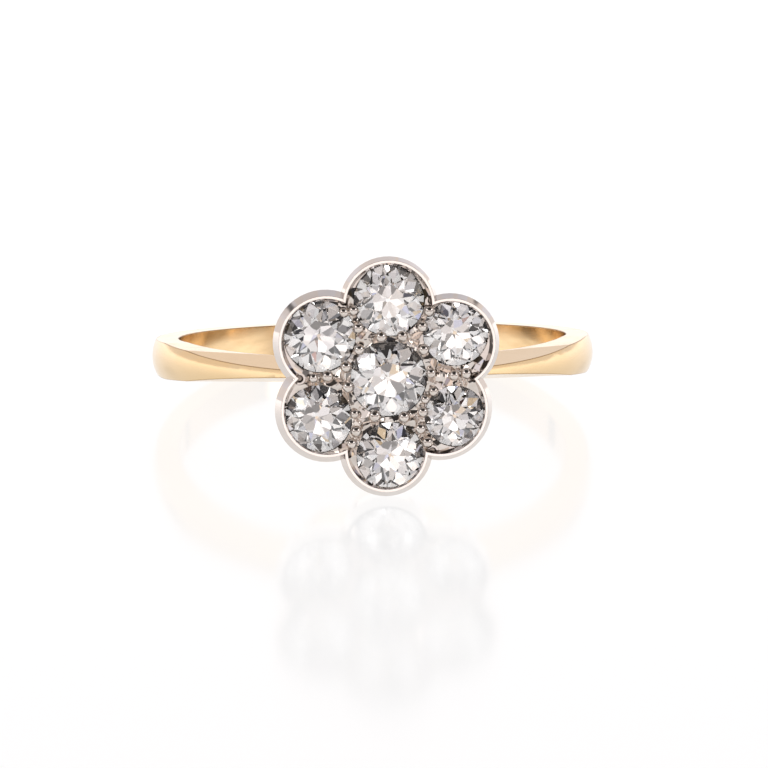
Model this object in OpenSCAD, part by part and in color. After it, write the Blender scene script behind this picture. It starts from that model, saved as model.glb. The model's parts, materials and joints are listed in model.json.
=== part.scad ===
// Flower cluster ring: seven round old-cut stones in a scalloped tray, on a tapering gold shank.
// It lies on its side as it would by itself, on its lowest petal and on the back of the shank,
// with the head towards -Y and the floor at z = 0.

/* [Shank] */
// Diameter of the finger hole
finger_d = 17; // [16.6:0.1:17.4]
// Metal between the finger hole and the outside of the band
band_t = 1.15; // [1.05:0.05:1.3]
// Width of the band where the shoulders begin, its widest place
band_w = 1.58; // [1.5:0.02:1.7]
// Width of the band at the back
back_w = 1.3; // [1.2:0.05:1.45]
// Width of the inner side of a shoulder beside the head
neck_w = 1.12; // [1:0.04:1.3]
// Radius of the domed outside of the band, in section
dome_r = 1.6; // [1.4:0.1:2.5]
// Radius of the curve that a shoulder follows up to the head
shoulder_r = 12; // [11.5:0.1:12.5]
// Tilt of the filed bevels towards the head, in degrees
bevel_tilt = 8.4; // [8:0.1:8.8]
// Lean of the filed bevels towards the sides, in degrees
bevel_lean = 3.1; // [2.8:0.1:3.4]
// Height of a bevel's plane over the middle of the finger hole
bevel_lift = 1.88; // [1.84:0.01:1.92]

/* [Under-collet] */
// Distance from the finger hole's axis to the top of the gold under-collet
cup_z = 11.55; // [11.5:0.01:11.6]
// Thickness of the wall of the under-collet
cup_wall = 0.55; // [0.5:0.05:0.65]
// How much smaller the radius of each of its petals is than the tray's
cup_step = 0.32; // [0.31:0.01:0.36]
// How far out the foot of each petal stands, as a share of its top
cup_foot_out = 0.64; // [0.6:0.01:0.7]
// Radius of the foot of each petal, as a share of its top
cup_foot_size = 0.72; // [0.68:0.01:0.76]
// Clearance of the under-collet over a finger that fills the hole
cup_relief = 0.4; // [0.3:0.05:0.5]

/* [Setting] */
// Distance from the finger hole's axis to the crest of the rim
crest_z = 12.85; // [12.8:0.01:12.9]
// Depth of the bevel outside the crest
bevel_h = 0.5; // [0.4:0.05:0.6]
// How far the wall draws in between the bevel and its lower edge
wall_taper = 0.18; // [0.17:0.01:0.19]
// Width of the flat crest
crest_w = 0.12; // [0.1:0.01:0.14]
// How far the inside of the rim slopes in, from the crest down to the floor of the tray
slope_w = 0.12; // [0.1:0.01:0.14]
// Depth of the tray's floor below the crest
tray_h = 0.34; // [0.3:0.02:0.4]
// Gap between the stones and the metal, and between the two metals
gap = 0.025; // [0.02:0.005:0.03]

/* [Stones] */
// How far the girdles lie below the tray's floor
girdle_drop = 0.06; // [0.04:0.01:0.1]
// Thickness of a girdle
girdle_h = 0.05; // [0.04:0.01:0.07]
// Width of a table, as a share of the stone's diameter
table_share = 0.48; // [0.44:0.01:0.54]
// Width of the culet, as a share of the stone's diameter
culet_share = 0.09; // [0.06:0.01:0.12]
// Angle of the crown's main facets, in degrees
crown_angle = 35; // [33:0.5:37]
// Angle of the pavilion's main facets, in degrees
pavilion_angle = 41; // [40:0.5:42]

/* [Hidden] */
$fn = 96;

gold = [0.93, 0.78, 0.50];
platinum = [0.84, 0.82, 0.80];
diamond = [0.93, 0.95, 0.97];

// Petals of the rim, seen from the front: angle anticlockwise from the right, distance of the
// petal's centre from the middle of the flower, its radius and the width of its outer bevel.
ANGLE = 0;
OUT = 1;
RADIUS = 2;
BEVEL = 3;
petals = [
    [28.5, 2.99, 2.10, 0.18],
    [89.5, 3.04, 2.09, 0.13],
    [150.2, 3.055, 2.24, 0.23],
    [207.5, 2.97, 2.20, 0.24],
    [267.5, 3.09, 1.98, 0.21],
    [328, 2.55, 2.22, 0.19]
];
bottom_petal = petals[4];
// How far below the crest the cones of the rim's bevels begin, in depths of the bevel.
bevel_cone_h = 3;

// Stones: place to the right and up from the middle of the flower, diameter and turn.
ACROSS = 0;
UP = 1;
WIDE = 2;
TURN = 3;
centre = [0, -0.05, 3.20, 8];
top = [0.05, 3.26, 3.00, 31];
upper_left = [-2.90, 1.78, 3.02, 15];
lower_left = [-3.01, -1.72, 2.86, 3];
bottom = [0.03, -3.34, 2.84, 20];
lower_right = [2.80, -1.69, 2.56, 37];
upper_right = [2.86, 1.84, 2.76, 26];
stones = [centre, top, upper_left, lower_left, bottom, lower_right, upper_right];

// Bead grains: angle round the flower, distance from its middle and radius.
GRAIN_R = 2;
grains = [
    [117, 3.22, 0.23], [124, 3.37, 0.23], [121, 2.47, 0.25], [136, 1.73, 0.24], [100, 1.76, 0.25],
    [71, 1.84, 0.25], [58, 3.30, 0.25], [56, 2.59, 0.25], [38, 1.89, 0.25],
    [165, 1.87, 0.26], [178, 2.60, 0.26], [192, 1.77, 0.27], [179.5, 3.20, 0.21],
    [249, 1.74, 0.28], [240, 3.22, 0.23], [238, 2.67, 0.25], [226, 2.12, 0.20],
    [290.5, 1.81, 0.25], [300, 3.21, 0.25], [301, 2.56, 0.25], [314, 2.06, 0.24],
    [5, 1.80, 0.23], [1, 2.77, 0.23], [2, 3.30, 0.24], [342, 1.99, 0.23], [328.3, 1.81, 0.20]
];

// Radius where the stars end and where the pavilion's halves end, as shares of the stone's.
star_share = 0.74;
half_share = 0.46;

// Deep cuts in the corners between the petals, angle and distance from the middle.
corner_cuts = [[60, 3.72], [120, 3.74], [180, 3.78], [240, 3.72], [300, 3.66], [0, 3.66]];
cut_r = 0.2;
cut_foot_r = 0.12;

// How far the band's section reaches past the sides that are filed off it.
section_spare = 0.2;
// Angle of each shoulder's curve, from the side of the ring on into the under-collet's wall.
shoulder_sweep = 64;
// Depth of the cones of the under-collet below its top, and how far they run on above it.
cup_depth = 4;
cup_above = 0.6;
// Radius of the middle of the under-collet at its foot and at its top, and of the tray's middle.
core_foot_r = 1.7;
core_top_r = 2.6;
tray_middle_r = 2.3;
// How far the straight side of a seat goes on above the girdle's clearance.
seat_lip = 0.04;
// Height of a seat's upper cone, which clears the crown, and how much steeper it is than the crown.
seat_crown_h = 0.6;
seat_crown_steep = 1.25;
// How much deeper than the stone's point the seat goes.
seat_depth = 1.07;
// How much wider the grains are cut than the seats, and how far their middles stand over the tray.
seat_play = 0.02;
grain_lift = 0.08;

// Where a shoulder is widest and where it meets the head, in the ring's plane.
wide_y = -2.5;
neck_y = -7.4;
// Lengths for what is cut clear or cut off: a little, more, and past the whole ring.
over = 0.1;
margin = 0.5;
far = 20;

finger_r = finger_d / 2;
band_r = finger_r + band_t;
tray_z = crest_z - tray_h;
widest_z = crest_z - bevel_h;
girdle_z = tray_z - girdle_drop;
tray_foot_z = cup_z + gap;

// The ring leans back on the floor: from its lowest petal to the back edge of the shank.
function dome_reach(half_w) = band_r - dome_r + sqrt(dome_r * dome_r - half_w * half_w);
back_edge_y = dome_reach(back_w / 2);
petal_drop = bottom_petal[RADIUS] - bottom_petal[OUT] * sin(bottom_petal[ANGLE]);
lean = atan((petal_drop - back_w / 2) / (widest_z + back_edge_y));
lift = back_edge_y * sin(lean) + back_w / 2 * cos(lean);
table_z = girdle_z + girdle_h / 2 + crown_rise(bottom, bottom[WIDE] / 2 * table_share);
table_reach = table_z * cos(lean) + (bottom[WIDE] / 2 * table_share - bottom[UP]) * sin(lean);
crest_reach = crest_z * cos(lean) + (petal_drop - bottom_petal[BEVEL]) * sin(lean);
front_reach = max(table_reach, crest_reach);
back_reach = (band_r - dome_r) * cos(lean) + dome_r;
centring = (front_reach - back_reach) / 2;

// Depth of the crown's main facets above the girdle, and of the pavilion's below it.
function crown_rise(stone, r) = (stone[WIDE] / 2 - r) * tan(crown_angle);
function pavilion_drop(stone, r) = (stone[WIDE] / 2 - r) * tan(pavilion_angle);

// Turns the head's frame (right, up, away from the finger) into the ring's frame.
module on_head() { rotate([90, 0, 0]) children(); }

// Sets the ring down on the floor.
module at_rest() { translate([0, centring, lift]) rotate([-lean, 0, 0]) children(); }

// The band cut across: flat inside and domed outside, wider than the sides leave it.
module band_section(inner, outer) {
    half_w = band_w / 2 + section_spare;
    square_t = dome_reach(half_w) - band_r + outer - inner;
    intersection() {
        translate([inner, -half_w]) square([outer - inner, 2 * half_w]);
        translate([outer - dome_r, 0]) circle(dome_r);
    }
    translate([inner, -half_w]) square([square_t, 2 * half_w]);
}

// The back half of the band, and the two shoulders that rise to the head.
module hoop() {
    inside = finger_r - margin;
    rotate_extrude(angle = 180) band_section(inside, band_r);
    offset_x = shoulder_r - band_r;
    for (side = [0, 1]) mirror([side, 0, 0])
        translate([offset_x, 0, 0]) rotate([0, 0, 180]) rotate_extrude(angle = shoulder_sweep)
            band_section(inside, shoulder_r);
}

// The band seen from the side: widest where the shoulders begin, narrower at head and back.
module side_profile() {
    slope = (band_w - neck_w) / 2 / (wide_y - neck_y);
    tip_w = neck_w / 2 - slope * (neck_y + crest_z);
    back_y = band_r + margin;
    rotate([90, 0, 90]) linear_extrude(2 * far, center = true) polygon([
        [-crest_z, tip_w], [wide_y, band_w / 2], [band_r, back_w / 2], [back_y, back_w / 2],
        [back_y, -back_w / 2], [band_r, -back_w / 2], [wide_y, -band_w / 2], [-crest_z, -tip_w]
    ]);
}

// One filed bevel takes away what lies above its plane, from a side of the shoulder to the head.
module filed_bevel() {
    translate([0, 0, bevel_lift]) rotate([bevel_tilt, -bevel_lean, 0])
        translate([-far, -far, 0]) cube([far, 2 * far, far]);
}

// The fluted body of the under-collet, a leaning cone for each petal round a middle one.
module cup_body(inset) {
    foot_z = cup_z - cup_depth;
    intersection() {
        union() {
            for (p = petals) {
                top_r = p[RADIUS] - cup_step;
                foot_r = top_r * cup_foot_size;
                slide = p[OUT] * (1 - cup_foot_out);
                growth = 1 + cup_above / cup_depth;
                rotate([0, 0, p[ANGLE]]) translate([p[OUT] * cup_foot_out, 0, foot_z])
                    rotate([0, atan(slide / cup_depth), 0])
                    cylinder(h = norm([slide, cup_depth]) * growth, r1 = foot_r - inset,
                             r2 = foot_r + (top_r - foot_r) * growth - inset);
            }
            translate([0, 0, foot_z])
                cylinder(h = cup_depth + cup_above, r1 = core_foot_r, r2 = core_top_r);
        }
        translate([-far, -far, foot_z + margin]) cube([2 * far, 2 * far, cup_depth - margin]);
    }
}

module shank() {
    color(gold) at_rest() difference() {
        union() {
            difference() {
                intersection() { hoop(); side_profile(); }
                for (side = [0, 1], face = [0, 1])
                    mirror([side, 0, 0]) mirror([0, 0, face]) filed_bevel();
                cylinder(h = 2 * far, r = finger_r, center = true);
            }
            difference() {
                on_head() cup_body(0);
                cylinder(h = 2 * far, r = finger_r + cup_relief, center = true);
            }
        }
        on_head() cup_body(cup_wall);
    }
}

// The tray's outer wall, which widens upwards: a cone for each petal and a middle.
module tray_wall() {
    height = crest_z + over - tray_foot_z + margin;
    slope = wall_taper / (widest_z - tray_foot_z);
    inset = wall_taper + slope * margin;
    translate([0, 0, tray_foot_z - margin]) {
        for (p = petals) rotate([0, 0, p[ANGLE]]) translate([p[OUT], 0, 0])
            cylinder(h = height, r1 = p[RADIUS] - inset, r2 = p[RADIUS] - inset + slope * height);
        cylinder(h = tray_z + over - tray_foot_z + margin, r = tray_middle_r - margin / 2);
    }
}

// The bevel on the rim, which narrows upwards to the crest: again a cone for each petal.
module rim_bevel() {
    for (p = petals)
        rotate([0, 0, p[ANGLE]]) translate([p[OUT], 0, crest_z - bevel_cone_h * bevel_h])
        cylinder(h = bevel_cone_h * bevel_h, r1 = p[RADIUS] + (bevel_cone_h - 1) * p[BEVEL],
                 r2 = p[RADIUS] - p[BEVEL]);
    translate([0, 0, cup_z - margin]) cylinder(h = tray_z + over - cup_z + margin, r = tray_middle_r);
}

// One petal of the tray's hollow, whose side slopes in from the crest.
module petal_hollow(p) {
    rim_r = p[RADIUS] - p[BEVEL] - crest_w;
    rotate([0, 0, p[ANGLE]]) translate([p[OUT], 0, tray_z])
        cylinder(h = tray_h + over, r1 = rim_r - slope_w, r2 = rim_r + slope_w * over / tray_h);
}

// The seat of a stone: the space round its crown, its girdle and its pavilion.
module seat(s, room) {
    r = s[WIDE] / 2 + room;
    under = girdle_h / 2 + room;
    above = under + seat_lip;
    top = above + seat_crown_h;
    translate([s[ACROSS], s[UP], girdle_z]) rotate_extrude() polygon([
        [0, -under - r * tan(pavilion_angle) * seat_depth], [r, -under], [r, above],
        [r - seat_crown_h / tan(crown_angle) / seat_crown_steep, top], [0, top]
    ]);
}

// The grains, raised from the metal and rounded over the edges of the stones.
module grains_round_stones() {
    difference() {
        for (g = grains) rotate([0, 0, g[ANGLE]]) translate([g[OUT], 0, tray_z + grain_lift])
            sphere(g[GRAIN_R], $fn = 32);
        for (s = stones) seat(s, gap + seat_play);
    }
}

// The tray with its seats cut right through it, then its hollow and the cuts in the corners.
module tray() {
    cut_depth = 0.3;
    difference() {
        difference() {
            intersection() {
                union() { tray_wall(); }
                union() { rim_bevel(); }
                translate([-far, -far, tray_foot_z]) cube([2 * far, 2 * far, far]);
            }
            for (s = stones) seat(s, gap);
        }
        for (p = petals) petal_hollow(p);
        translate([0, 0, tray_z]) cylinder(h = tray_h + margin, r = tray_middle_r);
        for (c = corner_cuts) rotate([0, 0, c[ANGLE]]) translate([c[OUT], 0, tray_z - cut_depth])
            cylinder(h = 2 * cut_depth, r1 = cut_foot_r, r2 = cut_r, $fn = 32);
    }
}

module setting() {
    color(platinum) at_rest() on_head() {
        tray();
        grains_round_stones();
    }
}

// An old-cut stone: table, eight stars, eight kites and sixteen halves on the crown; sixteen
// halves, eight mains and the culet on the pavilion. Rings of points run from table to culet.
module stone(s) {
    r = s[WIDE] / 2;
    table_r = r * table_share;
    star_r = r * star_share;
    half_r = r * half_share;
    culet_r = r * culet_share;
    half_step = 22.5;
    step = cos(half_step);
    rings = [
        // radius, height and turn of each ring of eight points
        [table_r, crown_rise(s, table_r) + girdle_h / 2, 0],
        [star_r, crown_rise(s, star_r * step) + girdle_h / 2, half_step],
        [r, girdle_h / 2, 0], [r, girdle_h / 2, half_step],
        [r, -girdle_h / 2, 0], [r, -girdle_h / 2, half_step],
        [half_r, -pavilion_drop(s, half_r * step) - girdle_h / 2, half_step],
        [culet_r, -pavilion_drop(s, culet_r * step) - girdle_h / 2, half_step]
    ];
    points = [for (ring = rings, k = [0:7])
        [ring[0] * cos(45 * k + ring[2]), ring[0] * sin(45 * k + ring[2]), ring[1]]];
    // point k of ring i, and the point before it
    function at(i, k) = 8 * i + (k + 8) % 8;
    faces = [
        [for (k = [7:-1:0]) at(0, k)],
        [for (k = [0:7]) at(7, k)],
        for (k = [0:7]) each [
            [at(0, k), at(0, k + 1), at(1, k)],
            [at(0, k), at(1, k), at(2, k), at(1, k - 1)],
            [at(1, k), at(3, k), at(2, k)],
            [at(1, k), at(2, k + 1), at(3, k)],
            [at(2, k), at(3, k), at(5, k), at(4, k)],
            [at(3, k), at(2, k + 1), at(4, k + 1), at(5, k)],
            [at(4, k), at(5, k), at(6, k)],
            [at(5, k), at(4, k + 1), at(6, k)],
            [at(4, k), at(6, k), at(7, k), at(7, k - 1), at(6, k - 1)]
        ]
    ];
    color(diamond) at_rest() on_head() translate([s[ACROSS], s[UP], girdle_z]) rotate([0, 0, s[TURN]])
        polyhedron(points, faces);
}

module stone_centre() { stone(centre); }
module stone_top() { stone(top); }
module stone_upper_left() { stone(upper_left); }
module stone_lower_left() { stone(lower_left); }
module stone_bottom() { stone(bottom); }
module stone_lower_right() { stone(lower_right); }
module stone_upper_right() { stone(upper_right); }

shank();
setting();
stone_centre();
stone_top();
stone_upper_left();
stone_lower_left();
stone_bottom();
stone_lower_right();
stone_upper_right();
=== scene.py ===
import bpy
import bmesh
import json
import math
import random
from mathutils import Matrix, Quaternion, Vector


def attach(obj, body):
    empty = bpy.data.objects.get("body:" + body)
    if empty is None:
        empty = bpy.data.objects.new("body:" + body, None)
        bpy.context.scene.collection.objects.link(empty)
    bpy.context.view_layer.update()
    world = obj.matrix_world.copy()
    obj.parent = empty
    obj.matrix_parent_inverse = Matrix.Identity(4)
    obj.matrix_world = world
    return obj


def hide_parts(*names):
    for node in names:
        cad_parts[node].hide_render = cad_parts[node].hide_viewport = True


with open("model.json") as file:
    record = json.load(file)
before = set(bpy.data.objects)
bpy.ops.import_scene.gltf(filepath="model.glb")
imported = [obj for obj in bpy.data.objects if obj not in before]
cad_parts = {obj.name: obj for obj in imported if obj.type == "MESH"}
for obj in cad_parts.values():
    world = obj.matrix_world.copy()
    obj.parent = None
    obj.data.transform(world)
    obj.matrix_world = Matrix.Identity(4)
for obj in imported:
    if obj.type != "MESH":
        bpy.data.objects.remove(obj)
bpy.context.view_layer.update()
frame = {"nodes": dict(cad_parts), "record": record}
nodes = frame["nodes"]
record = frame["record"]

# Shank
# The yellow gold band with its two filed shoulders and the fluted under-collet behind the head.
# 18 carat gold, forged and filed to its bevels, soldered, then polished with a mop, which leaves
# the edges a little soft and the faces with the faintest hairlines.
MM = 0.001


def set_inputs(tree, node, inputs):
    """Sets each input of a node to a value, or links it to another node's output."""
    for name, value in inputs.items():
        if isinstance(value, bpy.types.NodeSocket):
            tree.links.new(value, node.inputs[name])
        else:
            node.inputs[name].default_value = value


def add_node(tree, kind, inputs, data_type=None, operation=None):
    """A new shader node. Its inputs go by name, or by number where a name repeats."""
    node = tree.nodes.new("ShaderNode" + kind)
    if data_type:
        node.data_type = data_type
    if operation:
        node.operation = operation
    set_inputs(tree, node, inputs)
    return node


def new_material(name):
    """A material with its node tree and its shader."""
    material = bpy.data.materials.new(name)
    material.use_nodes = True
    return material, material.node_tree, material.node_tree.nodes["Principled BSDF"]


def polished_metal(name, colour, shade, roughness, hairlines, edge=0, painted_edge_shade=0):
    """A polished metal, mottled between two colours, with soft edges as wide as edge and painted shade along
    them.
    """
    metal, tree, shader = new_material(name)
    place = add_node(tree, "TexCoord", {})
    stretched = add_node(tree, "Mapping", {"Vector": place.outputs["Object"], "Scale": hairlines})
    mottle = add_node(tree, "TexNoise", {"Vector": stretched.outputs["Vector"], "Scale": 1.0, "Detail": 3.0})
    tint = add_node(tree, "Mix", {"Factor": mottle.outputs["Fac"], "A": (*colour, 1), "B": (*shade, 1)},
                    data_type="RGBA")
    polish = add_node(tree, "MapRange", {
        "Value": mottle.outputs["Fac"], "From Min": 0.3, "From Max": 0.7,
        "To Min": roughness[0], "To Max": roughness[1],
    })
    set_inputs(tree, shader, {
        "Metallic": 1.0, "Base Color": tint.outputs["Result"], "Roughness": polish.outputs["Result"],
    })
    if edge > 0:
        soft_edges = add_node(tree, "Bevel", {"Radius": edge})
        soft_edges.samples = 6
        # painted shade: the colour is darkened in a thin line along the edges, where the rounded
        # surface turns away from the flat one
        surface = add_node(tree, "NewGeometry", {})
        turn = add_node(tree, "VectorMath", {0: soft_edges.outputs["Normal"], 1: surface.outputs["Normal"]},
                        operation="DOT_PRODUCT")
        line = add_node(tree, "MapRange", {
            "Value": turn.outputs["Value"], "From Min": 0.999, "From Max": 0.97, "To Max": painted_edge_shade,
        })
        painted_edge_line = add_node(tree, "Mix", {
            "Factor": line.outputs["Result"], "A": tint.outputs["Result"],
            "B": (*(0.6 * c * c for c in shade), 1),
        }, data_type="RGBA")
        set_inputs(tree, shader, {
            "Normal": soft_edges.outputs["Normal"], "Base Color": painted_edge_line.outputs["Result"],
        })
    return metal


# the gold's edges carry a dark line of painted shade
gold = polished_metal("polished_gold", (0.85, 0.64, 0.38), (0.82, 0.60, 0.345), (0.10, 0.17),
                      hairlines=(900, 900, 4000), edge=0.085 * MM, painted_edge_shade=0.8)

shank = nodes["shank"]
shank.data.materials.clear()
shank.data.materials.append(gold)

# Setting
# The scalloped tray with its raised rim and the bright cuts in its corners. Platinum, pierced and
# cut from plate, soldered onto the under-collet and polished.
# the platinum's edges carry a faint line of painted shade
platinum = polished_metal("polished_platinum", (0.79, 0.735, 0.70), (0.71, 0.65, 0.61), (0.04, 0.09),
                          hairlines=(2500, 2500, 2500), edge=0.03 * MM, painted_edge_shade=0.3)

setting = nodes["setting"]
setting.data.materials.clear()
setting.data.materials.append(platinum)

# Grains
# The bead-shaped grains that hold the stones. Each is raised from the platinum with a graver and
# rounded over the edge of its stone with a beading tool.
cut_platinum = polished_metal("cut_platinum", (0.86, 0.81, 0.77), (0.58, 0.50, 0.44), (0.01, 0.05),
                              hairlines=(2500, 2500, 2500))

finger_hole = next(m for m in record["mounts"] if m["name"] == "finger_hole")
hole_middle = Vector(finger_hole["pos_m"])
head_right = Vector((1, 0, 0))
head_up = Vector(finger_hole["axis"]).normalized()
head_out = head_right.cross(head_up)


def on_head(right, up, out):
    """A place on the head, in millimetres from the middle of the finger hole."""
    return hole_middle + (head_right * right + head_up * up + head_out * out) * MM


def polar(angle, distance):
    """Right and up, from an angle in degrees round the flower and a distance from its middle."""
    return distance * math.cos(math.radians(angle)), distance * math.sin(math.radians(angle))


TRAY_OUT = 12.51
GRAIN_LIFT = 0.08
# angle round the flower, distance from its middle, radius
grains = [
    (117, 3.22, 0.23), (124, 3.37, 0.23), (121, 2.47, 0.25), (136, 1.73, 0.24), (100, 1.76, 0.25),
    (71, 1.84, 0.25), (58, 3.30, 0.25), (56, 2.59, 0.25), (38, 1.89, 0.25),
    (165, 1.87, 0.26), (178, 2.60, 0.26), (192, 1.77, 0.27), (179.5, 3.20, 0.21),
    (249, 1.74, 0.28), (240, 3.22, 0.23), (238, 2.67, 0.25), (226, 2.12, 0.20),
    (290.5, 1.81, 0.25), (300, 3.21, 0.25), (301, 2.56, 0.25), (314, 2.06, 0.24),
    (5, 1.80, 0.23), (1, 2.77, 0.23), (2, 3.30, 0.24), (342, 1.99, 0.23), (328.3, 1.81, 0.20),
]
# how much larger a grain is than the CAD's, which it covers
OVER_CAD = 0.006
# stone: right, up, width, turn
stones = {
    "stone_centre": (0, -0.05, 3.20, 8),
    "stone_top": (0.05, 3.26, 3.00, 31),
    "stone_upper_left": (-2.90, 1.78, 3.02, 15),
    "stone_lower_left": (-3.01, -1.72, 2.86, 3),
    "stone_bottom": (0.03, -3.34, 2.84, 20),
    "stone_lower_right": (2.80, -1.69, 2.56, 37),
    "stone_upper_right": (2.86, 1.84, 2.76, 26),
}
GIRDLE_OUT = 12.45
GIRDLE = 0.05
CROWN_ANGLE = math.radians(35)
SEAT_GAP = 0.03
# how far in from the girdle a seat's hole follows the crown, and how much steeper than it
SEAT_SLOPE_IN = 0.7
SEAT_STEEPER = 1.2


def new_piece(name, mesh, material):
    """An object at the origin that rides with the ring."""
    piece = bpy.data.objects.new(name, mesh)
    bpy.context.scene.collection.objects.link(piece)
    mesh.materials.clear()
    mesh.materials.append(material)
    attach(piece, "root")
    return piece


def grain_tree():
    """Geometry nodes that set a ball on every point, as large as the point's grain_r says."""
    tree = bpy.data.node_groups.new("grains", "GeometryNodeTree")
    face = tree.interface
    face.new_socket("Geometry", in_out="INPUT", socket_type="NodeSocketGeometry")
    fineness = face.new_socket("Fineness", in_out="INPUT", socket_type="NodeSocketInt")
    metal = face.new_socket("Metal", in_out="INPUT", socket_type="NodeSocketMaterial")
    face.new_socket("Geometry", in_out="OUTPUT", socket_type="NodeSocketGeometry")
    start = tree.nodes.new("NodeGroupInput")
    end = tree.nodes.new("NodeGroupOutput")
    ball = tree.nodes.new("GeometryNodeMeshIcoSphere")
    ball.inputs["Radius"].default_value = 1.0
    size = tree.nodes.new("GeometryNodeInputNamedAttribute")
    size.data_type = "FLOAT"
    size.inputs["Name"].default_value = "grain_r"
    place = tree.nodes.new("GeometryNodeInstanceOnPoints")
    real = tree.nodes.new("GeometryNodeRealizeInstances")
    smooth = tree.nodes.new("GeometryNodeSetShadeSmooth")
    finish = tree.nodes.new("GeometryNodeSetMaterial")
    link = tree.links.new
    link(start.outputs["Geometry"], place.inputs["Points"])
    link(start.outputs["Fineness"], ball.inputs["Subdivisions"])
    link(ball.outputs["Mesh"], place.inputs["Instance"])
    link(size.outputs["Attribute"], place.inputs["Scale"])
    link(place.outputs["Instances"], real.inputs["Geometry"])
    link(real.outputs["Geometry"], smooth.inputs["Geometry"])
    link(smooth.outputs["Geometry"], finish.inputs["Geometry"])
    link(start.outputs["Metal"], finish.inputs["Material"])
    link(finish.outputs["Geometry"], end.inputs["Geometry"])
    return tree, fineness.identifier, metal.identifier


points = bpy.data.meshes.new("grain_points")
points.from_pydata([on_head(*polar(angle, distance), TRAY_OUT + GRAIN_LIFT)
                    for angle, distance, radius in grains], [], [])
sizes = points.attributes.new("grain_r", "FLOAT", "POINT")
for size, (angle, distance, radius) in zip(sizes.data, grains):
    size.value = (radius + OVER_CAD) * MM
raised = bpy.data.objects.new("grain_points", points)
bpy.context.scene.collection.objects.link(raised)
tree, fineness_id, metal_id = grain_tree()
maker = raised.modifiers.new("grains", "NODES")
maker.node_group = tree
maker[fineness_id] = 4
maker[metal_id] = cut_platinum


def lathe(profile, across, up, segments):
    """A solid turned about an axis through the head's face, from (radius, out) pairs."""
    mesh = bmesh.new()
    rings = []
    for radius, out in profile:
        if radius == 0:
            rings.append([mesh.verts.new(on_head(across, up, out))])
        else:
            turns = [2 * math.pi * k / segments for k in range(segments)]
            rings.append([mesh.verts.new(on_head(across + radius * math.cos(t),
                                                 up + radius * math.sin(t), out)) for t in turns])
    for low, high in zip(rings, rings[1:]):
        for k in range(segments):
            n = (k + 1) % segments
            face = [low[k % len(low)], low[n % len(low)], high[n % len(high)], high[k % len(high)]]
            mesh.faces.new([v for i, v in enumerate(face) if v not in face[:i]])
    bmesh.ops.recalc_face_normals(mesh, faces=mesh.faces)
    return mesh


# the grains are trimmed where they would run into the stones
all_seats = bmesh.new()
for across, up, width, turn in stones.values():
    r = width / 2 + SEAT_GAP
    low, high = GIRDLE_OUT - GIRDLE / 2 - SEAT_GAP, GIRDLE_OUT + (GIRDLE / 2 + SEAT_GAP)
    mouth = high + SEAT_SLOPE_IN * math.tan(CROWN_ANGLE) * SEAT_STEEPER
    seat = lathe([(0, low - r), (r, low), (r, high), (r - SEAT_SLOPE_IN, mouth), (0, mouth)],
                 across, up, segments=96)
    seat_mesh = bpy.data.meshes.new("seat")
    seat.to_mesh(seat_mesh)
    all_seats.from_mesh(seat_mesh)
seats = bpy.data.meshes.new("seats")
all_seats.to_mesh(seats)
cutter = bpy.data.objects.new("seats", seats)
bpy.context.scene.collection.objects.link(cutter)
trim = raised.modifiers.new("trim", "BOOLEAN")
trim.operation = "DIFFERENCE"
trim.object = cutter
trim.solver = "EXACT"
trim.use_self = True
depsgraph = bpy.context.evaluated_depsgraph_get()
grain_mesh = bpy.data.meshes.new_from_object(raised.evaluated_get(depsgraph))
raised.modifiers.clear()
bpy.data.objects.remove(raised)
bpy.data.objects.remove(cutter)
new_piece("grains", grain_mesh, cut_platinum)

# Cut metal between the stones
# The top of the tray is cut away towards each stone with a graver, which leaves roof-shaped ridges
# between the stones and a furrow behind every grain. It is the same platinum as the tray, shown
# as a thin relief that stands on the tray's floor.
# petal: angle, distance of its centre, radius, width of its bevel
petals = [(28.5, 2.99, 2.10, 0.18), (89.5, 3.04, 2.09, 0.13), (150.2, 3.055, 2.24, 0.23),
          (207.5, 2.97, 2.20, 0.24), (267.5, 3.09, 1.98, 0.21), (328, 2.55, 2.22, 0.19)]
# width of the rim's inner slope, and radius of the floor in the middle between the petals
RIM_INSIDE = 0.15
MIDDLE_R = 2.3
# corner cuts: angle round the flower, distance from its middle; radius of all
corners = [Vector(polar(*corner)) for corner in (
    (60, 3.72), (120, 3.74), (180, 3.78), (240, 3.72), (300, 3.66), (0, 3.66))]
CORNER_R = 0.24
# the metal's height near a grain, how far it keeps that, and its fall beyond
RIDGE = 0.22
RIDGE_REACH = 0.4
RIDGE_FALL = 0.4
# each grain's furrows: their headings in degrees from the grain's own, and how far behind the
# grain they begin
FURROW_HEADINGS = (0, 75, 150, 215, 290)
FURROW_RUN_UP = 0.3
# the relief's grid: half its width, the size of its cells, how far it sinks into the floor, and
# the least number of cells that it keeps together
REACH = 4.7
STEP = 0.03
SINK = 0.03
LEAST_CELLS = 40


def petal_centre(petal):
    return Vector(polar(petal[0], petal[1]))


def floor_depth(spot):
    """How far a spot lies inside the foot of the rim."""
    inside = [p[2] - p[3] - RIM_INSIDE - (spot - petal_centre(p)).length for p in petals]
    return max(inside + [MIDDLE_R - spot.length])


def stone_distance(spot):
    """How far a spot lies outside the nearest stone."""
    return min((spot - Vector((right, up))).length - width / 2 for right, up, width, turn in stones.values())


chance = random.Random(11)
furrows = []
grain_spots = []
for angle, distance, radius in grains:
    spot = Vector(polar(angle, distance))
    grain_spots.append(spot)
    for turn in FURROW_HEADINGS:
        heading = Vector(polar(angle + turn + chance.uniform(-25, 25), 1))
        start = spot + Vector((-heading.y, heading.x)) * chance.uniform(-0.2, 0.2)
        length, slope, bottom = chance.uniform(0.35, 0.8), chance.uniform(0.4, 1.1), chance.uniform(0, 0.05)
        furrows.append((start, heading, length, slope, bottom))


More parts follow.
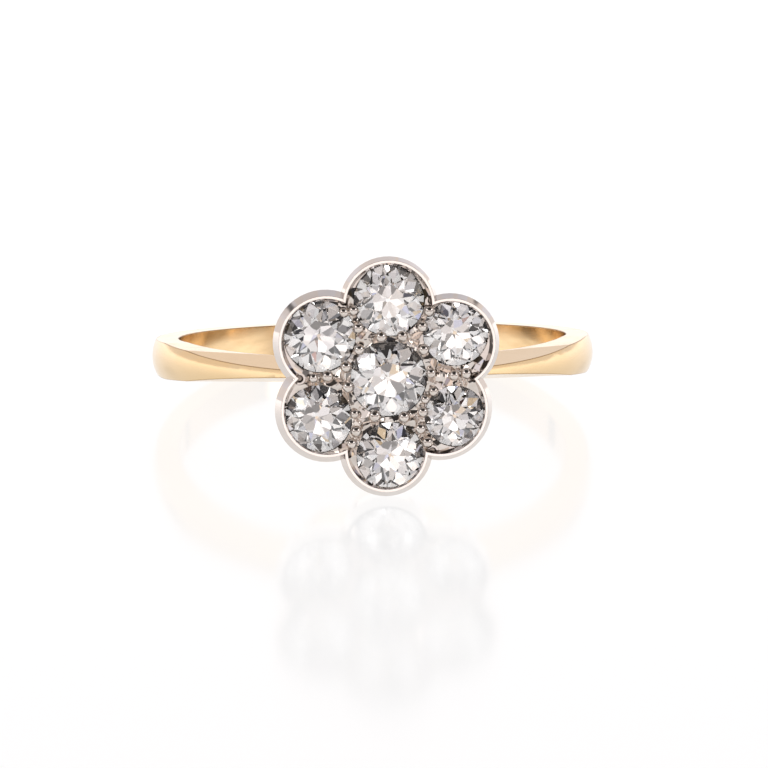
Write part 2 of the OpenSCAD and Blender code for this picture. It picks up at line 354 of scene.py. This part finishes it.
def cut_height(spot):
    """Height of the cut metal over the tray's floor, as left by V-shaped graver cuts."""
    nearest = min((spot - grain).length for grain in grain_spots)
    height = RIDGE - RIDGE_FALL * max(0, nearest - RIDGE_REACH)
    for start, heading, length, slope, bottom in furrows:
        step = spot - start
        along = step.dot(heading)
        if -FURROW_RUN_UP < along < length:
            aside = abs(step.cross(heading))
            height = min(height, bottom + aside * slope + max(0, -along) * slope)
    return height


heights = {}
count = int(2 * REACH / STEP)
for i in range(count):
    for j in range(count):
        spot = Vector((-REACH + i * STEP, -REACH + j * STEP))
        if spot.length < REACH and stone_distance(spot) > SEAT_GAP - STEP and floor_depth(spot) > -STEP \
                and min((spot - corner).length for corner in corners) > CORNER_R:
            heights[i, j] = cut_height(spot)

cells = {(i, j) for i, j in heights if {(i + 1, j), (i, j + 1), (i + 1, j + 1)} <= heights.keys()}
touching = True
while touching:
    # cells that meet only at a corner would share an edge that has four faces
    touching = {(i, j) for i, j in cells for side in (1, -1) if (i + side, j + 1) in cells
                and (i + side, j) not in cells and (i, j + 1) not in cells}
    cells -= touching
# loose specks are left out
left = set(cells)
while left:
    island, border = set(), [min(left)]
    while border:
        i, j = border.pop()
        if (i, j) in left:
            left.discard((i, j))
            island.add((i, j))
            border += [(i + 1, j), (i - 1, j), (i, j + 1), (i, j - 1)]
    if len(island) <= LEAST_CELLS:
        cells -= island

cut = bmesh.new()
top, under = {}, {}
for (i, j), height in heights.items():
    spot = (-REACH + i * STEP, -REACH + j * STEP)
    top[i, j] = cut.verts.new(on_head(*spot, TRAY_OUT + max(height, -SINK / 2)))
    under[i, j] = cut.verts.new(on_head(*spot, TRAY_OUT - SINK))
for i, j in sorted(cells):
    ring = [(i, j), (i + 1, j), (i + 1, j + 1), (i, j + 1)]
    cut.faces.new([top[k] for k in ring])
    cut.faces.new([under[k] for k in reversed(ring)])
    for k, beside in enumerate(((i, j - 1), (i + 1, j), (i, j + 1), (i - 1, j))):
        if beside not in cells:
            first, second = ring[k], ring[(k + 1) % 4]
            cut.faces.new([top[first], under[first], under[second], top[second]])
bmesh.ops.delete(cut, geom=[v for v in cut.verts if not v.link_faces], context="VERTS")
bmesh.ops.recalc_face_normals(cut, faces=cut.faces)
cut_mesh = bpy.data.meshes.new("cut_metal")
cut.to_mesh(cut_mesh)
new_piece("cut_metal", cut_mesh, cut_platinum)

# Painted shade in the tray
# Shade is painted inside the tray as a dark mottled colour, on its floor and above all in the deep
# corner cuts. It is no piece of its own but part of the setting's material.
# how far inside a petal's edge the painted shade begins, and how much further in it keeps, for
# each millimetre below the floor, from the outer wall that draws in there
PAINTED_SHADE_IN = 0.12
WALL_SLOPE = 0.5
tray_tree = platinum.node_tree
tray_shader = tray_tree.nodes["Principled BSDF"]
on_tray = add_node(tray_tree, "Mapping", {
    "Vector": add_node(tray_tree, "TexCoord", {}).outputs["Object"],
    "Location": hole_middle, "Rotation": (math.atan2(head_up.z, head_up.y), 0, 0), "Scale": (MM, MM, MM),
})
on_tray.vector_type = "TEXTURE"
place = add_node(tray_tree, "SeparateXYZ", {"Vector": on_tray.outputs["Vector"]})
flat = add_node(tray_tree, "CombineXYZ", {"X": place.outputs["X"], "Y": place.outputs["Y"]})
outside = None
for petal in petals:
    away = add_node(tray_tree, "VectorMath", {0: flat.outputs["Vector"], 1: (*petal_centre(petal), 0)},
                    operation="DISTANCE")
    past = add_node(tray_tree, "Math", {0: away.outputs["Value"], 1: petal[2] - PAINTED_SHADE_IN},
                    operation="SUBTRACT")
    if outside is not None:
        past = add_node(tray_tree, "Math", {0: outside, 1: past.outputs["Value"]}, operation="MINIMUM")
    outside = past.outputs["Value"]
drawn_in = add_node(tray_tree, "MapRange", {
    "Value": place.outputs["Z"], "From Min": TRAY_OUT, "From Max": TRAY_OUT - 1, "To Max": WALL_SLOPE,
})
outside = add_node(tray_tree, "Math", {0: outside, 1: drawn_in.outputs["Result"]}, operation="ADD")
within = add_node(tray_tree, "MapRange", {
    "Value": outside.outputs["Value"], "From Min": 0, "From Max": -0.03,
})
deep = add_node(tray_tree, "MapRange", {
    "Value": place.outputs["Z"], "From Min": TRAY_OUT + 0.05, "From Max": TRAY_OUT - 0.08,
})
amount = add_node(tray_tree, "Math", {0: within.outputs["Result"], 1: deep.outputs["Result"]},
                  operation="MULTIPLY")
flecks = add_node(tray_tree, "TexNoise", {"Vector": on_tray.outputs["Vector"], "Scale": 4.0})
# painted shade: a dark mottled colour mixed into the tray where it lies deep
painted_shade = add_node(tray_tree, "Mix", {
    "Factor": flecks.outputs["Fac"], "A": (0.03, 0.022, 0.018, 1), "B": (0.36, 0.31, 0.27, 1),
}, data_type="RGBA")
painted_shade_mix = add_node(tray_tree, "Mix", {
    "Factor": amount.outputs["Value"], "A": tray_shader.inputs["Base Color"].links[0].from_socket,
    "B": painted_shade.outputs["Result"],
}, data_type="RGBA")
set_inputs(tray_tree, tray_shader, {"Base Color": painted_shade_mix.outputs["Result"]})

# Stones
# Seven old-cut diamonds with small tables, high crowns and open culets. Each facet was ground by
# eye and by hand, so no two are quite alike. Each stone sits in its own cone-shaped seat.
diamond, diamond_tree, diamond_shader = new_material("clear_diamond")
set_inputs(diamond_tree, diamond_shader, {
    "Base Color": (0.91, 0.895, 0.89, 1), "Roughness": 0.0, "IOR": 2.42, "Transmission Weight": 1.0,
})

PAVILION_ANGLE = math.radians(41)
# radius of each ring of corners as a share of the stone's
TABLE = 0.48
STAR = 0.74
HALF = 0.46
CULET = 0.07
# how far a facet strays, in angle and as a share of the stone's radius
FACET_TILT = math.radians(1.6)
FACET_DEPTH = 0.012
hand = random.Random(5)


def facet_planes(r):
    """Three points for each facet of an old-cut stone, and the heights of its table and culet."""
    step = math.radians(22.5)

    def spot(radius, turn, height):
        return Vector((radius * math.cos(turn * step), radius * math.sin(turn * step), height))

    def crown(q):
        return (r - q) * math.tan(CROWN_ANGLE) + GIRDLE / 2

    def pavilion(q):
        return -(r - q) * math.tan(PAVILION_ANGLE) - GIRDLE / 2

    inner = math.cos(step)
    planes = []
    for k in range(0, 16, 2):
        table = spot(TABLE * r, k, crown(TABLE * r))
        next_table = spot(TABLE * r, k + 2, crown(TABLE * r))
        star = spot(STAR * r, k + 1, crown(STAR * r * inner))
        half = spot(HALF * r, k + 1, pavilion(HALF * r * inner))
        culet = spot(CULET * r, k + 1, pavilion(CULET * r * inner))
        for side, tip in ((1, star), (-1, half)):
            girdle = [spot(r, k + n, side * GIRDLE / 2) for n in range(3)]
            planes += [(tip, girdle[0], girdle[1]), (tip, girdle[1], girdle[2])]
            planes.append((girdle[0], tip, table if side == 1 else culet))
        planes.append((table, next_table, star))
    return planes, crown(TABLE * r), pavilion(CULET * r * inner)


def cut_facet(stone, through, normal):
    """Grinds away what lies outside one plane and closes the stone again."""
    found = bmesh.ops.bisect_plane(stone, geom=stone.verts[:] + stone.edges[:] + stone.faces[:], dist=1e-7,
                                   plane_co=through, plane_no=normal, clear_outer=True)
    edges = [e for e in found["geom_cut"] if isinstance(e, bmesh.types.BMEdge) and e.is_boundary]
    if len(edges) > 2:
        bmesh.ops.contextual_create(stone, geom=edges)


facing = Matrix((head_right, head_up, head_out)).transposed().to_4x4()
for name, (across, up, width, turn) in stones.items():
    r = width / 2
    planes, table_height, culet_height = facet_planes(r)
    stone = bmesh.new()
    bmesh.ops.create_cone(stone, cap_ends=True, segments=64, radius1=r, radius2=r, depth=4 * r)
    for a, b, c in planes:
        normal = (b - a).cross(c - a).normalized()
        if normal.dot(a + b + c) < 0:
            normal = -normal
        tilt = Quaternion(Vector([hand.uniform(-1, 1) for _ in range(3)]).normalized(),
                          hand.uniform(-FACET_TILT, FACET_TILT))
        middle = (a + b + c) / 3 + normal * hand.uniform(-FACET_DEPTH, 0.3 * FACET_DEPTH) * r
        cut_facet(stone, middle, tilt @ normal)
    lean = Quaternion(Vector((hand.uniform(-1, 1), hand.uniform(-1, 1), 0)).normalized(), FACET_TILT)
    cut_facet(stone, Vector((0, 0, table_height)), lean @ Vector((0, 0, 1)))
    cut_facet(stone, Vector((0, 0, culet_height)), Vector((0, 0, -1)))
    stone.transform(Matrix.Translation(on_head(across, up, GIRDLE_OUT)) @ facing
                    @ Matrix.Rotation(math.radians(turn), 4, "Z") @ Matrix.Scale(MM, 4))
    bmesh.ops.recalc_face_normals(stone, faces=stone.faces)
    mesh = bpy.data.meshes.new(name + "_cut")
    stone.to_mesh(mesh)
    piece = new_piece(name.replace("stone", "diamond"), mesh, diamond)
    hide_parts(name)

# Floor
# A white glossy board lit from behind, which the ring lies on.
white_board, board_tree, board_shader = new_material("white_board")
set_inputs(board_tree, board_shader, {
    "Base Color": (0.2, 0.2, 0.2, 1), "Roughness": 0.12, "Specular IOR Level": 0.3,
    "Emission Color": (1, 1, 1, 1), "Emission Strength": 0.775,
})

bpy.ops.mesh.primitive_plane_add(size=3.0, location=(0, 0, 0))
floor = bpy.context.object
floor.name = "floor"
floor.data.materials.append(white_board)

# Camera
# A long lens a little over the ring's own plane, a touch to the left of the head. It is aimed so
# that the middle of the finger hole lies where it lies in the photo.
camera_turn = math.radians(-3.3)
camera_rise = math.radians(16.4)
camera_distance = 360 * MM
pixels_per_mm = 22.8
picture_width = 768
hole_pixel = (372.4, 353.0)

back = Vector((
    math.sin(camera_turn) * math.cos(camera_rise),
    -math.cos(camera_turn) * math.cos(camera_rise),
    math.sin(camera_rise),
))
view_turn = (-back).to_track_quat("-Z", "Y")
view_right = view_turn @ Vector((1, 0, 0))
view_up = view_turn @ Vector((0, 1, 0))
hole_across = (picture_width / 2 - hole_pixel[0]) / pixels_per_mm * MM
hole_down = (picture_width / 2 - hole_pixel[1]) / pixels_per_mm * MM
aim = hole_middle + view_right * hole_across - view_up * hole_down

camera_data = bpy.data.cameras.new("camera")
camera = bpy.data.objects.new("camera", camera_data)
bpy.context.scene.collection.objects.link(camera)
camera.rotation_mode = "QUATERNION"
camera.rotation_quaternion = view_turn
camera.location = aim + back * camera_distance
camera_data.sensor_width = 36
camera_data.lens = camera_data.sensor_width * camera_distance / (picture_width / pixels_per_mm * MM)
camera_data.clip_start = 0.01
camera_data.clip_end = 10
bpy.context.scene.camera = camera

# Light
# A white tent lit evenly near the board, with a broad light high in front that has a dark opening
# in its middle. The front of the tent is patched together from lighter and darker panels, which
# the stones break up into bright and dark chips.
world = bpy.data.worlds.new("white_tent")
bpy.context.scene.world = world
world.use_nodes = True
tent = world.node_tree
direction = add_node(tent, "TexCoord", {}).outputs["Generated"]


def tent_patch(elevation, azimuth, radius, softness):
    """1 within radius of a direction, 0 from softness beyond it, all in degrees, 0 to the front."""
    e, a = math.radians(elevation), math.radians(azimuth)
    middle = (math.cos(e) * math.sin(a), -math.cos(e) * math.cos(a), math.sin(e))
    towards = add_node(tent, "VectorMath", {0: direction, 1: middle}, operation="DOT_PRODUCT")
    patch = add_node(tent, "MapRange", {
        "Value": towards.outputs["Value"], "From Min": math.cos(math.radians(radius + softness)),
        "From Max": math.cos(math.radians(radius)),
    })
    patch.interpolation_type = "SMOOTHSTEP"
    return patch.outputs["Result"]


def tent_mix(amount, before, after):
    """The brightness before, or after where amount is 1."""
    mix = add_node(tent, "Mix", {"Factor": amount, "A": before, "B": after}, data_type="FLOAT")
    return mix.outputs["Result"]


def tent_cells(scale):
    """Random Red, Green and Blue for each cell of an uneven pattern of panels."""
    cells = add_node(tent, "TexVoronoi", {"Vector": direction, "Scale": scale})
    return add_node(tent, "SeparateColor", {"Color": cells.outputs["Color"]}).outputs


# the wall, which is brighter near the board
height = add_node(tent, "SeparateXYZ", {"Vector": direction})
wall = add_node(tent, "MapRange", {
    "Value": height.outputs["Z"], "From Min": math.sin(math.radians(12)),
    "From Max": math.sin(math.radians(32)), "To Min": 0.94, "To Max": 0.7,
})
panels = tent_cells(5.0)
panel_light = add_node(tent, "MapRange", {
    "Value": panels["Red"], "From Min": 0.3, "From Max": 0.75, "To Min": 0.19, "To Max": 0.88,
})
in_front = tent_patch(40, 0, 62, 4)
brightness = tent_mix(in_front, wall.outputs["Result"], panel_light.outputs["Result"])
# elevation, azimuth, radius and brightness of each light or dark part of the tent
for elevation, azimuth, radius, value in [
    # the broad light and its dark opening, which the grains mirror as a ring with a dark spot
    (58, 0, 52, 1.05), (60, 0, 31, 0.06), (56, -42, 25, 0.06), (56, 42, 25, 0.06),
    # the camera's opening, and a lamp below it that draws the white line on the rim's crest
    (17, -3, 5.5, 0.1), (6.5, 3.3, 4.5, 1.6),
    # two gaps in the back wall, which show as dark streaks on the rim's bevel
    (23, -144, 5, 0.12), (23, 148, 4, 0.12),
]:
    brightness = tent_mix(tent_patch(elevation, azimuth, radius, 2), brightness, value)
# each panel in front is lit a little differently
uneven = add_node(tent, "MapRange", {"Value": panels["Blue"], "To Min": 0.7, "To Max": 1.1})
lit = add_node(tent, "Math", {0: brightness, 1: tent_mix(in_front, 1.0, uneven.outputs["Result"])},
               operation="MULTIPLY")
# the tent's cloth is warmer in some places and cooler in others
tint = add_node(tent, "Mix", {
    "Factor": tent_cells(7.0)["Green"], "A": (1, 0.90, 0.83, 1), "B": (0.95, 0.94, 1.0, 1),
}, data_type="RGBA")
# a few small coloured scraps high in front give the stones their blue, yellow and red flashes
scraps = add_node(tent, "ValToRGB", {"Fac": tent_cells(13.0)["Blue"]})
ramp = scraps.color_ramp
ramp.interpolation = "CONSTANT"
ramp.elements[0].color = (0.76, 0.80, 1.0, 1)
ramp.elements[1].position = 0.1
ramp.elements[1].color = (1, 1, 1, 1)
ramp.elements.new(0.86).color = (1.0, 0.83, 0.58, 1)
ramp.elements.new(0.97).color = (1.0, 0.62, 0.56, 1)
coloured = add_node(tent, "Mix", {
    "Factor": tent_patch(54, 0, 42, 4), "A": tint.outputs["Result"], "B": scraps.outputs["Color"],
}, data_type="RGBA")
coloured.blend_type = "MULTIPLY"
set_inputs(tent, tent.nodes["Background"], {
    "Strength": lit.outputs["Value"], "Color": coloured.outputs["Result"],
})


def soft_light(name, place, width, watts):
    """A broad square light, turned towards the ring."""
    light = bpy.data.lights.new(name, "AREA")
    light.shape = "RECTANGLE"
    light.size = width
    light.size_y = width
    light.energy = watts
    lamp = bpy.data.objects.new(name, light)
    bpy.context.scene.collection.objects.link(lamp)
    lamp.location = place
    lamp.rotation_euler = (hole_middle - Vector(place)).to_track_quat("-Z", "Y").to_euler()


soft_light("left_side", (-0.36, -0.22, 0.3), width=0.14, watts=0.2)
soft_light("right_side", (0.36, -0.22, 0.3), width=0.14, watts=0.2)

bpy.context.scene.view_settings.view_transform = "Standard"
